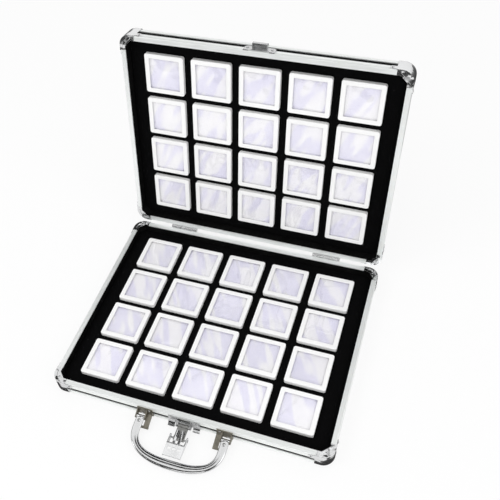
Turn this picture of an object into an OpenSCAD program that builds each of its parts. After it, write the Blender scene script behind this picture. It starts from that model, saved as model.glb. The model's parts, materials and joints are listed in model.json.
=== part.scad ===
// Mineral specimen box: a flat aluminium case, open on its hinges, with foam in both halves
// and forty small square boxes with clear windows. Millimetres, Z up.
// The origin is the middle of the base's underside, at the height it rests on.

/* [Small boxes] */
// Side of a small box over its cap
box_size = 50; // [40:0.5:60]
// Height of a small box with its cap on
box_h = 12; // [10.5:0.25:12.5]
// Corner radius of a small box's cap
box_corner_r = 2.6; // [2:0.1:6]
// Wall of the cap's skirt
cap_wall = 1.1; // [0.8:0.1:1.5]
// Width of the cap's white frame round the window
frame_border = 5.6; // [4:0.2:8]
// Thickness of the cap's frame
frame_t = 1.6; // [1.3:0.1:2]
// Thickness of the clear window
window_t = 0.8; // [0.5:0.1:1]
// How far the window tucks under the frame
window_seat = 1; // [0.6:0.1:1.4]
// Wall of the tray
tray_wall = 1.2; // [0.8:0.1:2]
// Floor of the tray
tray_floor = 1; // [0.8:0.1:2]
// Gap between the tray and the cap's skirt
cap_clear = 0.15; // [0.1:0.05:0.3]
// Gap left above the tray and above the pad
head_clear = 0.3; // [0.2:0.05:0.6]

/* [Layout of the boxes] */
// Boxes across the case
columns = 5; // [3:1:6]
// Boxes from front to back
rows = 4; // [2:1:5]
// Foam between neighbours across the case
gap_x = 10; // [6:0.5:16]
// Foam between neighbours from front to back
gap_y = 8; // [6:0.5:14]
// Foam from the outer boxes to the side rims
side_margin = 20.5; // [16:0.5:30]
// Foam from the outer boxes to the front and back rims
end_margin = 17; // [15:0.5:26]
// How far a box stands above the foam
box_proud = 6; // [5:0.25:6.5]
// Gap between a tray and its pocket
pocket_clear = 0.3; // [0.2:0.05:0.6]
// Foam under the boxes
foam_floor = 1; // [0.6:0.1:2]

/* [Case] */
// Height of the base
base_h = 22.5; // [21:0.5:30]
// Height of the lid
lid_h = 25; // [22:0.5:32]
// Angle of the open lid from closed
lid_open = 100.6; // [90:0.1:101]
// Gap between the two rims when closed
rim_gap = 0.2; // [0.1:0.05:0.5]
// Width of the rim's flat lip
lip_w = 6; // [5.5:0.1:9]
// Thickness of the rim's lip
lip_t = 1.6; // [1.2:0.1:2]
// Height of the rim profile's face
rim_h = 9; // [7:0.5:10]
// Height of the edge profile's face
edge_h = 8; // [6.5:0.5:9]
// Wall of the aluminium profiles
profile_t = 1.3; // [1:0.1:1.4]
// Radius of the edge profile's outer corner
edge_r = 3; // [2:0.25:3.5]
// Width of the edge profile's foot under the panel
foot_w = 8.5; // [7:0.5:9]
// Thickness of the large black panels
panel_t = 2.5; // [2:0.25:3]
// Thickness of the black wall boards
board_t = 4.3; // [3.6:0.1:4.4]
// How deep the black boards lie behind the aluminium faces
board_inset = 1.4; // [1.4:0.1:1.6]

/* [Corner caps] */
// Thickness of the chrome skin
skin_t = 1; // [0.8:0.1:1.5]
// Radius of the case's corners seen from above
corner_r = 13; // [10:0.5:13.4]
// Length of a cap along each wall
cap_leg = 19.5; // [18.8:0.1:22]
// Reach of the tab that holds a cap's rivet
tab_reach = 27; // [24.5:0.5:32]
// Height of the tab
tab_h = 6.6; // [5:0.2:7.4]
// Reach of the cap's piece of lip, where the rim's bars begin
lip_reach = 18.5; // [16:0.1:19.2]
// Reach of the slanted inner edge of that piece of lip
lip_corner = 13.5; // [13.1:0.1:15.5]
// Width of the lip left round the cap's sunk corner
lip_band = 2.6; // [2:0.1:3.4]
// Depth of the cap's sunk corner
lip_sunk = 0.7; // [0.5:0.1:0.9]
// Radius of a rivet's head
rivet_r = 1.8; // [1.4:0.1:2.2]
// Height of a rivet's head
rivet_h = 0.8; // [0.5:0.1:1.2]
// Radius of a rivet's shank
shank_r = 0.95; // [0.7:0.05:1.1]

/* [Hinges] */
// Distance between the middles of the two hinges
hinge_span = 202; // [150:1:240]
// Length of a hinge
hinge_len = 37; // [30:0.5:50]
// How far the hinge line lies behind the walls
hinge_back = 2.8; // [2.8:0.05:3.4]
// Radius of the hinge knuckles
knuckle_r = 2.4; // [2:0.05:2.5]
// Radius of the hinge pins
hinge_pin_r = 1; // [0.8:0.05:1.2]
// Thickness of the hinge leaves
leaf_t = 1.2; // [1:0.05:1.3]
// Height of a hinge leaf on its wall
leaf_h = 14; // [12:0.5:16]

/* [Handle] */
// Distance between the middles of the handle's arms
arm_span = 104.2; // [96:0.2:116]
// Width of a handle arm at its pin
arm_w = 9.8; // [8:0.2:11]
// Reach of the handle from its pin
handle_reach = 49; // [46:0.5:56]
// Width of the grip at its middle
grip_w = 11; // [8:0.5:11]
// Thickness of the handle
handle_t = 4.4; // [3:0.2:5]
// How far the handle droops from level as it lies
handle_droop = 6; // [3:0.5:7]
// Height of the handle's pins above the table
handle_pin_z = 10; // [9.5:0.25:11]
// Distance of the handle's pins from the wall
handle_pin_out = 8; // [7:0.25:9]
// Radius of the handle's pins
handle_pin_r = 1; // [0.8:0.05:1.2]
// Width of a bracket's stop tongue
tongue_w = 6.2; // [5:0.2:7]
// Reach of a bracket's stop tongue from the wall
tongue_out = 17.5; // [14:0.5:19]

/* [Latch] */
// Width of the latch's base plate
latch_w = 39; // [34:0.5:46]
// Height of the latch's and brackets' upper edge
plate_top = 18.2; // [17:0.1:20]
// Height of the latch's and brackets' lower edge
plate_bottom = 4; // [3:0.1:5]
// Thickness of the plates on the front wall
plate_t = 1.2; // [1:0.05:1.25]
// Height of the latch's lower pin
latch_pin_z = 8.5; // [8:0.1:9]
// Distance of the latch's lower pin from the wall
latch_pin_out = 4.6; // [4.5:0.05:5]
// Distance between the latch's two pins
link_len = 16; // [15.5:0.1:17]
// Width of the link
link_w = 12.8; // [10:0.2:13]
// Width of the lever
lever_w = 21.4; // [21.2:0.1:22.4]
// Length of the lever from its pin to its tip
lever_len = 23.5; // [20:0.25:24]
// Radius of the latch's pins
latch_pin_r = 1; // [0.8:0.05:1.1]
// Width of the catch's raised hook
hook_w = 18; // [14:0.5:18.4]

/* [Hidden] */
$fn = 40;

// Overrun of a cutting body past the face that it cuts
eps = 0.5;
// Gap between a pin and the piece that turns on it
turn_clear = 0.06;
// Gap between a pin or shank and the hole that holds it
fit_clear = 0.02;
// Gap between neighbouring knuckles along a pin
side_clear = 0.2;

pitch_x = box_size + gap_x;
pitch_y = box_size + gap_y;
case_w = columns * box_size + (columns - 1) * gap_x + 2 * (side_margin + lip_w);
case_d = rows * box_size + (rows - 1) * gap_y + 2 * (end_margin + lip_w);
half_w = case_w / 2;
half_d = case_d / 2;

foot_t = 1.2;
cap_under = 0.8;
lip_rivet_r = 1.4;
panel_z = cap_under + foot_t;
foam_z = panel_z + panel_t;
box_z = foam_z + foam_floor;
foam_top = box_z + box_h - box_proud;
closed_h = base_h + rim_gap + lid_h;
hinge_y = half_d + hinge_back;
hinge_z = base_h + rim_gap / 2;

// Places of the loose boxes, counted from the left and from the front
loose_base = [columns - 1, 0];
loose_lid = [0, rows - 2];

// Points on an arc from angle a to angle b
function arc(c, r, a, b, n) =
    [for (i = [0:n]) c + r * [cos(a + (b - a) * i / n), sin(a + (b - a) * i / n)]];

// A plain rectangle with round corners
module round_plate(w, d, r) {
    square([w - 2 * r, d], center = true);
    square([w, d - 2 * r], center = true);
    for (sx = [-1, 1], sy = [-1, 1])
        translate([sx * (w / 2 - r), sy * (d / 2 - r)]) circle(r = r);
}

// A profile drawn as (outward, up) and drawn out along X
module along_x(x0, x1) translate([x0, 0, 0]) rotate([90, 0, 90]) linear_extrude(x1 - x0) children();

// Turns a closed lid back to its open place
module lid_pose()
    translate([0, hinge_y, hinge_z]) rotate([-lid_open, 0, 0]) translate([0, -hinge_y, -hinge_z])
        children();

// A lid piece is drawn like a base piece, standing on its outer face, and then turned over
module in_lid() lid_pose() translate([0, 0, closed_h]) mirror([0, 0, 1]) children();

// Pieces on the front wall are drawn with Y pointing away from it
module on_front() translate([0, -half_d, 0]) mirror([0, 1, 0]) children();

// The four walls: a profile drawn as (inward, up), between the corner pieces
module wall_run(half, reach)
    translate([0, -half, 0]) along_x(-reach, reach) children();

module four_walls(cut) {
    for (turn = [0, 180]) rotate([0, 0, turn]) wall_run(half_d, half_w - cut) children();
    for (turn = [90, 270]) rotate([0, 0, turn]) wall_run(half_w, half_d - cut) children();
}

// Rim profile: a lip over an outer leg with one drawn groove
module rim_section(h) {
    groove = 0.4;
    polygon([[0, h - rim_h], [0, h - 3], [groove, h - 2.8], [groove, h - 2.2], [0, h - 2],
        [0, h - groove], [groove, h], [lip_w, h], [lip_w, h - lip_t], [profile_t, h - lip_t],
        [profile_t, h - rim_h]]);
}

// Edge profile: a round outer corner, a leg up the wall and a foot under the panel
module edge_section() {
    z = cap_under;
    polygon(concat([[0, edge_h]], arc([edge_r, z + edge_r], edge_r, 180, 270, 8),
        [[foot_w, z], [foot_w, panel_z], [profile_t, panel_z], [profile_t, edge_h]]));
}

module rim_bars(h) color([0.86, 0.88, 0.87]) four_walls(lip_reach) rim_section(h);
module edge_bars() color([0.84, 0.86, 0.85]) four_walls(lip_corner) edge_section();

// Large panel with its corners cut back behind the caps
module case_panel() {
    x = half_w - board_inset;
    y = half_d - board_inset;
    cut = corner_r - board_inset;
    color([0.06, 0.06, 0.06]) translate([0, 0, panel_z]) linear_extrude(panel_t)
        polygon([[-x + cut, -y], [x - cut, -y], [x, -y + cut], [x, y - cut], [x - cut, y],
            [-x + cut, y], [-x, y - cut], [-x, -y + cut]]);
}

// Wall boards, and a slip of board across each corner
module wall_boards(h) color([0.05, 0.05, 0.05]) {
    top = h - lip_t;
    four_walls(lip_corner) polygon([[board_inset, foam_z], [board_inset + board_t, foam_z],
        [board_inset + board_t, top], [board_inset, top]]);
    slip = 1.2;
    inner = board_inset + board_t;
    for (sx = [-1, 1], sy = [-1, 1]) scale([sx, sy, 1])
        translate([0, 0, foam_z]) linear_extrude(top - foam_z)
            polygon([[half_w - lip_corner, half_d - inner], [half_w - inner, half_d - lip_corner],
                [half_w - inner + slip, half_d - lip_corner],
                [half_w - lip_corner, half_d - inner + slip]]);
}

// Skin of a corner cap, drawn as (inward, up)
module skin_section(h) {
    z = cap_under + edge_r;
    out = edge_r + skin_t;
    polygon(concat([[-skin_t, h]],
        [for (a = [0:10:90]) [edge_r - out * cos(a), z - z * sin(a)]],
        [[foot_w, 0], [foot_w, cap_under]], arc([edge_r, z], edge_r, 270, 180, 8), [[0, h]]));
}

// A tab of the skin with a round end, drawn as (inward, up)
module rivet_tab(h) {
    r = tab_h / 2;
    translate([corner_r, h - rim_h / 2 - r]) square([tab_reach - r - corner_r, tab_h]);
    translate([tab_reach - r, h - rim_h / 2]) circle(r = r);
}

// Two rivets in each cap, one on each wall
module each_cap_rivet(h) {
    z = h - rim_h / 2;
    in = tab_reach - tab_h / 2;
    for (sx = [-1, 1], sy = [-1, 1]) scale([sx, sy, 1]) {
        translate([half_w - in, half_d, z]) rotate([-90, 0, 0]) children();
        translate([half_w, half_d - in, z]) rotate([0, 90, 0]) children();
    }
}

// The sunk corner lies between the slanted inner edge and the round outer one
sunk_r = corner_r - lip_band;
sunk_line = (2 * corner_r - lip_w - lip_corner) / sqrt(2) + lip_band * 0.7;
sunk_mid = (sunk_line + sunk_r) / 2;

// A third rivet stands in each sunk corner
module each_lip_rivet() for (sx = [-1, 1], sy = [-1, 1]) scale([sx, sy, 1])
    translate([half_w - corner_r + sunk_mid / sqrt(2), half_d - corner_r + sunk_mid / sqrt(2), 0])
        children();

// A shank from the wall's face out through a sheet, with a low domed head
module rivet(sheet) {
    cylinder(r = shank_r, h = sheet);
    translate([0, 0, sheet]) cylinder(r1 = rivet_r, r2 = rivet_r * 0.55, h = rivet_h);
}

module hole(sheet) translate([0, 0, -eps]) cylinder(r = shank_r + fit_clear, h = sheet + 2 * eps);

module corner_caps(h) color([0.80, 0.80, 0.80]) difference() {
    for (sx = [-1, 1], sy = [-1, 1]) scale([sx, sy, 1]) {
        cx = half_w - corner_r;
        cy = half_d - corner_r;
        translate([cx, cy, 0]) rotate_extrude(angle = 90) translate([corner_r, 0]) mirror([1, 0])
            skin_section(h);
        translate([half_w - cap_leg, half_d, 0]) rotate([90, 0, 90])
            linear_extrude(cap_leg - corner_r) mirror([1, 0]) skin_section(h);
        translate([half_w, half_d - corner_r, 0]) rotate([90, 0, 0])
            linear_extrude(cap_leg - corner_r) mirror([1, 0]) skin_section(h);
        translate([0, half_d + skin_t, 0]) rotate([90, 0, 0]) linear_extrude(skin_t)
            translate([half_w, 0]) mirror([1, 0]) rivet_tab(h);
        translate([half_w, half_d, 0]) rotate([90, 0, 90]) linear_extrude(skin_t)
            mirror([1, 0]) rivet_tab(h);
        translate([0, 0, h - lip_t]) linear_extrude(lip_t)
            polygon(concat([[half_w - lip_reach, half_d - lip_w], [half_w - lip_corner,
                half_d - lip_w], [half_w - lip_w, half_d - lip_corner],
                [half_w - lip_w, half_d - lip_reach], [half_w + skin_t / 2, half_d - lip_reach]],
                arc([cx, cy], corner_r + skin_t / 2, 0, 90, 8),
                [[half_w - lip_reach, half_d + skin_t / 2]]));
    }
    each_cap_rivet(h) hole(skin_t);
    each_lip_rivet() translate([0, 0, h - lip_t]) hole(lip_t);
    half_turn = acos(sunk_line / sunk_r);
    for (sx = [-1, 1], sy = [-1, 1]) scale([sx, sy, 1])
        translate([half_w - corner_r, half_d - corner_r, h - lip_sunk]) linear_extrude(lip_sunk + eps)
            polygon(arc([0, 0], sunk_r, 45 - half_turn, 45 + half_turn, 16));
}

module cap_rivets(h) color([0.62, 0.62, 0.62]) {
    each_cap_rivet(h) rivet(skin_t);
    each_lip_rivet() translate([0, 0, h - lip_t]) {
        cylinder(r = shank_r, h = lip_t - lip_sunk);
        translate([0, 0, lip_t - lip_sunk])
            cylinder(r1 = lip_rivet_r, r2 = lip_rivet_r * 0.6, h = lip_sunk * 0.75);
    }
}

// Where each small box stands
function box_at(c) = [(c[0] - (columns - 1) / 2) * pitch_x, (c[1] - (rows - 1) / 2) * pitch_y, box_z];

module each_box(skip)
    for (i = [0:columns - 1], j = [0:rows - 1]) if ([i, j] != skip)
        translate(box_at([i, j])) children();

tray_size = box_size - 2 * (cap_wall + cap_clear);
tray_top = box_h - frame_t - head_clear;

module foam_insert() color([0.03, 0.03, 0.03]) difference() {
    gap = 0.2;
    x = half_w - board_inset - board_t - gap;
    y = half_d - board_inset - board_t - gap;
    cut = lip_corner - board_inset - board_t;
    translate([0, 0, foam_z]) linear_extrude(foam_top - foam_z)
        polygon([[-x + cut, -y], [x - cut, -y], [x, -y + cut], [x, y - cut], [x - cut, y],
            [-x + cut, y], [-x, y - cut], [-x, -y + cut]]);
    side = tray_size + 2 * pocket_clear;
    each_box([-1, -1]) translate([-side / 2, -side / 2, 0]) cube([side, side, box_h]);
}

// Small box: an open tray
module tray() color([0.93, 0.93, 0.93]) difference() {
    r = box_corner_r - cap_wall - cap_clear;
    linear_extrude(tray_top) round_plate(tray_size, tray_size, r);
    translate([0, 0, tray_floor]) linear_extrude(box_h)
        round_plate(tray_size - 2 * tray_wall, tray_size - 2 * tray_wall, max(r - tray_wall, 0.4));
}

// Small box: a pale pad that fills the tray, crowned a little towards the window
module pad() color([0.90, 0.89, 0.95]) {
    pad_clear = 0.2;
    side = tray_size - 2 * tray_wall - 2 * pad_clear;
    crown = 0.5;
    crown_in = 1.5;
    top = tray_top - crown;
    translate([0, 0, tray_floor]) linear_extrude(top - tray_floor) round_plate(side, side, 1);
    translate([0, 0, top]) linear_extrude(crown)
        round_plate(side - 2 * crown_in, side - 2 * crown_in, 2 * crown_in);
}

opening = box_size - 2 * frame_border;
opening_r = 0.8;

// Small box: a white cap with a square opening
module cap() color([0.98, 0.98, 0.98]) {
    skirt_z = box_h - box_proud + head_clear;
    inner = box_size - 2 * cap_wall;
    seat = opening + 2 * (window_seat + fit_clear);
    difference() {
        translate([0, 0, skirt_z]) linear_extrude(box_h - skirt_z)
            round_plate(box_size, box_size, box_corner_r);
        translate([0, 0, skirt_z - eps]) linear_extrude(box_h - frame_t - skirt_z + eps)
            round_plate(inner, inner, box_corner_r - cap_wall);
        translate([-seat / 2, -seat / 2, box_h - frame_t - eps]) cube([seat, seat, window_t + eps]);
        translate([0, 0, skirt_z]) linear_extrude(box_h) round_plate(opening, opening, opening_r);
    }
}

// Small box: the clear window, held in the cap's seat
module window() color([0.86, 0.90, 0.96, 0.4]) {
    side = opening + 2 * window_seat;
    translate([-side / 2, -side / 2, box_h - frame_t]) cube([side, side, window_t]);
}

// Hinges, drawn closed. Each has five knuckles: three on the base's leaf and two on the lid's
module each_hinge() for (side = [-1, 1]) translate([side * hinge_span / 2, 0, 0]) children();

knuckle_len = hinge_len / 5;

module knuckles(list) for (k = list)
    translate([(k - 2.5) * knuckle_len + side_clear / 2, hinge_y, hinge_z]) rotate([0, 90, 0])
        cylinder(r = knuckle_r, h = knuckle_len - side_clear);

// The leaf's sheet rises to the pin line beside each of its knuckles
module leaf_sheet(list, up) {
    z0 = up > 0 ? hinge_z - leaf_h : hinge_z;
    edge = knuckle_r + side_clear;
    z1 = up > 0 ? z0 : hinge_z + edge;
    translate([-hinge_len / 2, half_d, z1]) cube([hinge_len, leaf_t, leaf_h - edge]);
    for (k = list) translate([(k - 2.5) * knuckle_len + side_clear / 2, half_d, z0])
        cube([knuckle_len - side_clear, leaf_t, leaf_h]);
    for (k = list) translate([(k - 2.5) * knuckle_len + side_clear / 2, half_d, hinge_z - leaf_t / 2])
        cube([knuckle_len - side_clear, hinge_back, leaf_t]);
}

module hinge_bore(r) translate([-hinge_len, hinge_y, hinge_z]) rotate([0, 90, 0])
    cylinder(r = r, h = 2 * hinge_len);

module leaf_holes(z) for (x = [-1, 1]) translate([x * hinge_len / 3, half_d, z]) rotate([-90, 0, 0])
    children();

base_hole_z = hinge_z - leaf_h * 0.62;
lid_hole_z = hinge_z + leaf_h * 0.62;

module base_leaf() color([0.78, 0.78, 0.78]) difference() {
    union() {
        knuckles([0, 2, 4]);
        leaf_sheet([0, 2, 4], 1);
    }
    hinge_bore(hinge_pin_r + fit_clear);
    leaf_holes(base_hole_z) hole(leaf_t);
}

// A fin on each of the lid's knuckles meets the base's leaf and stops the open lid
module lid_leaf() color([0.78, 0.78, 0.78]) difference() {
    fin = 4.3;
    fin_t = 1;
    gap = hinge_back - leaf_t - side_clear / 2;
    union() {
        knuckles([1, 3]);
        leaf_sheet([1, 3], -1);
        for (k = [1, 3]) translate([(k - 2.5) * knuckle_len + side_clear / 2, hinge_y, hinge_z])
            rotate([lid_open - 90, 0, 0]) translate([0, 0, -gap])
                cube([knuckle_len - side_clear, fin, fin_t]);
    }
    hinge_bore(hinge_pin_r + turn_clear);
    leaf_holes(lid_hole_z) hole(leaf_t);
}

module hinge_pin() color([0.70, 0.70, 0.70])
    translate([-hinge_len / 2, hinge_y, hinge_z]) rotate([0, 90, 0])
        cylinder(r = hinge_pin_r, h = hinge_len);

// Handle brackets
arm_x = arm_span / 2;
ear_t = 1.2;
ear_gap = 0.25;
bracket_in = arm_x - arm_w / 2 - ear_gap - ear_t - tongue_w;
bracket_out = arm_x + arm_w / 2 + ear_gap + ear_t;

module ear(x) {
    r = handle_pin_r + 1.8;
    difference() {
        union() {
            along_x(x, x + ear_t) translate([handle_pin_out, handle_pin_z]) circle(r = r);
            along_x(x, x + ear_t) polygon([[0, plate_bottom + 2], [0, plate_top - 2],
                [handle_pin_out, handle_pin_z + r], [handle_pin_out, handle_pin_z - r]]);
        }
        translate([x - eps, handle_pin_out, handle_pin_z]) rotate([0, 90, 0])
            cylinder(r = handle_pin_r + fit_clear, h = ear_t + 2 * eps);
    }
}

bracket_rivets = [[(bracket_in + arm_x - arm_w / 2) / 2, plate_top - 3],
    [arm_x + 1, plate_bottom + 3]];

// One bracket: wall plate, two ears for the pin and a stop tongue with a rolled end
module bracket() difference() {
    roll = 1.5;
    tongue_t = 1.4;
    roll_lap = 2;
    arm_under = (tongue_out - handle_pin_out) * tan(handle_droop) + handle_t / 2 / cos(handle_droop);
    roll_z = handle_pin_z - arm_under - 0.2 - roll;
    union() {
        translate([bracket_in, 0, plate_bottom])
            cube([bracket_out - bracket_in, plate_t, plate_top - plate_bottom]);
        ear(arm_x - arm_w / 2 - ear_gap - ear_t);
        ear(arm_x + arm_w / 2 + ear_gap);
        along_x(bracket_in, bracket_in + tongue_w) polygon([[0, handle_pin_z + 3],
            [plate_t, handle_pin_z + 3], [plate_t + 2, handle_pin_z + tongue_t / 2],
            [tongue_out, roll_z + roll], [tongue_out, roll_z + roll - tongue_t],
            [plate_t + 1, handle_pin_z - tongue_t / 2], [0, handle_pin_z]]);
        along_x(bracket_in, bracket_in + tongue_w)
            translate([tongue_out, roll_z]) circle(r = roll);
        along_x(bracket_in + tongue_w - eps, arm_x - arm_w / 2 + roll_lap)
            translate([tongue_out, roll_z]) circle(r = roll);
    }
    for (p = bracket_rivets) translate([p[0], 0, p[1]]) rotate([-90, 0, 0]) hole(plate_t);
}

module both_brackets() for (side = [0, 1]) mirror([side, 0, 0]) on_front() children();

// Handle: a bail whose inner and outer edges are rounded bows, lofted between them
// Station k of the bow from 0 to 180 degrees
bow_start = 12;
loft_from = 1.6;
eye_r = 2.6;
eye_proud = 0.1;
function bow(a, half, deep, n) = [half * sign(cos(a)) * pow(abs(cos(a)), 2 / n),
    bow_start + (deep - bow_start) * pow(max(sin(a), 0), 2 / n)];
function inner_edge(a) = bow(a, arm_x - arm_w / 2, handle_reach - grip_w, 2.9);
function outer_edge(a) = bow(a, arm_x + arm_w / 2, handle_reach, 2.3);
bow_steps = 36;
ring_steps = 12;
to_pin = [0, bow_start - loft_from];
stations = concat([[inner_edge(0) - to_pin, outer_edge(0) - to_pin]],
    [for (i = [0:bow_steps]) let (a = 180 * i / bow_steps) [inner_edge(a), outer_edge(a)]],
    [[inner_edge(180) - to_pin, outer_edge(180) - to_pin]]);
function soft(v) = sign(v) * pow(abs(v), 0.55);
function ring(s) = let (m = (s[0] + s[1]) / 2, h = (s[1] - s[0]) / 2)
    [for (k = [0:ring_steps - 1]) let (a = 360 * k / ring_steps)
        [m[0] + h[0] * soft(cos(a)), m[1] + h[1] * soft(cos(a)), handle_t / 2 * soft(sin(a))]];

module bail_loft() {
    n = len(stations);
    points = [for (s = stations) for (p = ring(s)) p];
    sides = [for (i = [0:n - 2], k = [0:ring_steps - 1]) let (k2 = (k + 1) % ring_steps)
        each [[i * ring_steps + k, i * ring_steps + k2, (i + 1) * ring_steps + k],
            [i * ring_steps + k2, (i + 1) * ring_steps + k2, (i + 1) * ring_steps + k]]];
    first = [for (k = [ring_steps - 1:-1:0]) k];
    last = [for (k = [0:ring_steps - 1]) (n - 1) * ring_steps + k];
    polyhedron(points, concat(sides, [first, last]));
}

// The handle is drawn level with its pin line on X, then set on its pins and let down
module handle_pose() on_front() translate([0, handle_pin_out, handle_pin_z])
    rotate([-handle_droop, 0, 0]) children();

module each_arm() for (side = [-1, 1]) translate([side * arm_x, 0, 0]) children();

arm_rivet_out = 5.2;

module bail() color([0.78, 0.78, 0.78]) difference() {
    union() {
        bail_loft();
        each_arm() translate([-arm_w / 2 - eye_proud, 0, 0]) rotate([0, 90, 0])
            cylinder(r = eye_r, h = arm_w + 2 * eye_proud);
    }
    each_arm() translate([-arm_w, 0, 0]) rotate([0, 90, 0])
        cylinder(r = handle_pin_r + turn_clear, h = 2 * arm_w);
}

module handle_dome() {
    dome_r = 2.4;
    intersection() {
        translate([0, 0, -dome_r / 2]) sphere(r = dome_r);
        cylinder(r = dome_r, h = dome_r);
    }
}

// Latch: base plate with ears and wings
link_half = link_w / 2;
ear_x = link_half + side_clear;
flange_t = 1;
lever_half = lever_w / 2;
ear_x2 = lever_half - flange_t - 0.5;
latch_knuckle_r = 2.4;

module latch_ears() for (side = [0, 1]) mirror([side, 0, 0]) {
    along_x(ear_x, ear_x2) translate([latch_pin_out, latch_pin_z]) circle(r = latch_knuckle_r);
    along_x(ear_x, ear_x2) polygon([[0, latch_pin_z - latch_knuckle_r],
        [latch_pin_out, latch_pin_z - latch_knuckle_r],
        [latch_pin_out, latch_pin_z + latch_knuckle_r],
        [plate_t, latch_pin_z + latch_knuckle_r + 1.5], [0, latch_pin_z + latch_knuckle_r + 1.5]]);
}

// A wing bows away from the wall towards its lower edge
module latch_wing(x0, x1) {
    r = 9;
    c = [plate_t + r, latch_rivet_z - rivet_r - 0.3];
    along_x(x0, x1) intersection() {
        polygon(concat(arc(c, r, 180, 248, 12), arc(c, r + plate_t, 248, 180, 12)));
        translate([0, plate_bottom]) square([r, plate_top - plate_bottom]);
    }
}

latch_rivet_x = latch_w / 2 - 4;
latch_rivet_z = plate_top - 2.6;

module each_latch_rivet() for (side = [-1, 1])
    translate([side * latch_rivet_x, 0, latch_rivet_z]) rotate([-90, 0, 0]) children();

module latch_base() color([0.78, 0.78, 0.78]) difference() {
    union() {
        difference() {
            translate([-latch_w / 2, 0, plate_bottom + 1])
                cube([latch_w, plate_t, plate_top - plate_bottom - 1]);
            translate([-link_half, -eps, latch_pin_z + latch_knuckle_r + 1])
                cube([link_w, plate_t + 2 * eps, 3.6]);
        }
        latch_ears();
        for (side = [0, 1]) mirror([side, 0, 0])
            latch_wing(lever_half + 0.6, latch_w / 2);
    }
    translate([-latch_w, latch_pin_out, latch_pin_z]) rotate([0, 90, 0])
        cylinder(r = latch_pin_r + fit_clear, h = 2 * latch_w);
    each_latch_rivet() hole(plate_t);
}

module link() color([0.45, 0.45, 0.42]) {
    t = 1.5;
    difference() {
        along_x(-link_half, link_half) {
            translate([latch_pin_out, latch_pin_z]) circle(r = latch_knuckle_r);
            translate([latch_pin_out + link_len, latch_pin_z]) circle(r = latch_knuckle_r);
            translate([latch_pin_out, latch_pin_z - t / 2]) square([link_len, t]);
        }
        for (out = [0, link_len])
            translate([-link_w, latch_pin_out + out, latch_pin_z]) rotate([0, 90, 0])
                cylinder(r = latch_pin_r + turn_clear, h = 2 * link_w);
    }
}

// Lever, drawn with its pin on X and its tip along Y
web_z = 3.4;
web_t = 1;
lever_root = 7.5;
claw_reach = 8.6;
claw_t = 0.9;
claw_down = 2.1;
claw_w = 3;
claw_x = 3;
slot_w = 4.3;
slot_d = 3;
slot_pitch = 5.9;
slot_out = 14.2;

module lever() color([0.84, 0.84, 0.84]) {
    top = web_z + web_t;
    end_r = (top + 3.2) / 2;
    difference() {
        union() {
            for (x = [-lever_half, lever_half - flange_t]) along_x(x, x + flange_t) {
                translate([0, top - end_r]) circle(r = end_r);
                polygon([[0, top], [0, top - 2 * end_r], [lever_len - 1, 1.4], [lever_len, 2.2],
                    [lever_len, top]]);
            }
            along_x(-lever_half, lever_half) translate([lever_root, web_z])
                square([lever_len - lever_root, web_t]);
            along_x(-lever_half, lever_half) translate([lever_root + 0.9, top]) circle(r = 0.6);
            for (side = [-1, 1]) along_x(side * claw_x - claw_w / 2, side * claw_x + claw_w / 2)
                polygon([[lever_root + 0.5, top], [lever_root + 0.5, web_z], [-claw_reach, web_z],
                    [-claw_reach, web_z - claw_down], [-claw_reach - claw_t, web_z - claw_down],
                    [-claw_reach - claw_t, top - 0.4], [-claw_reach - claw_t + 0.4, top]]);
        }
        translate([-lever_w, 0, 0]) rotate([0, 90, 0])
            cylinder(r = latch_pin_r + fit_clear, h = 2 * lever_w);
        for (k = [-1, 0, 1]) translate([k * slot_pitch - slot_w / 2, slot_out - slot_d / 2, 0])
            cube([slot_w, slot_d, 2 * top]);
    }
}

module lever_pose() on_front() translate([0, latch_pin_out + link_len, latch_pin_z]) children();

module plate_pin() color([0.7, 0.7, 0.7]) on_front()
    translate([-ear_x2, latch_pin_out, latch_pin_z]) rotate([0, 90, 0])
        cylinder(r = latch_pin_r, h = 2 * ear_x2);

module lever_pin() color([0.7, 0.7, 0.7]) lever_pose() {
    head = 0.7;
    translate([-lever_half - head, 0, 0]) rotate([0, 90, 0])
        cylinder(r = latch_pin_r, h = lever_w + 2 * head);
    for (x = [-lever_half - head, lever_half]) translate([x, 0, 0]) rotate([0, 90, 0])
        cylinder(r = latch_pin_r + 0.7, h = head);
}

// Catch on the lid's front wall, drawn closed: the claws pull down on the hook's top
pin_closed_z = latch_pin_z + link_len;
hook_top = pin_closed_z + claw_reach - rim_gap;
hook_out = latch_pin_out + web_z - 0.3;
hook_h = 5;
catch_w = 37;
catch_bottom = base_h + rim_gap + 0.6;
catch_rivet_x = catch_w / 2 - 4;
catch_rivet_z = catch_bottom + 6;

module catch_body() color([0.80, 0.80, 0.80]) difference() {
    union() {
        along_x(-hook_w / 2, hook_w / 2) polygon([[0, hook_top - hook_h], [0, hook_top],
            [hook_out - 0.6, hook_top], [hook_out, hook_top - 0.6], [hook_out, hook_top - hook_h]]);
        translate([0, plate_t, 0]) rotate([90, 0, 0]) linear_extrude(plate_t)
            polygon([[-catch_w / 2, catch_bottom], [-catch_w / 2 + 6, catch_bottom],
                [-catch_w / 2 + 9, catch_bottom + 2], [catch_w / 2 - 9, catch_bottom + 2],
                [catch_w / 2 - 6, catch_bottom], [catch_w / 2, catch_bottom],
                [catch_w / 2, hook_top - 1], [catch_w / 2 - 3, hook_top + 1.6],
                [-catch_w / 2 + 3, hook_top + 1.6], [-catch_w / 2, hook_top - 1]]);
    }
    hollow = hook_w - 2;
    translate([-hollow / 2, plate_t, hook_top - hook_h - eps])
        cube([hollow, hook_out - plate_t - 1, hook_h - 1 + eps]);
    for (x = [-1, 1]) translate([x * catch_rivet_x, 0, catch_rivet_z]) rotate([-90, 0, 0]) hole(plate_t);
}

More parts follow.
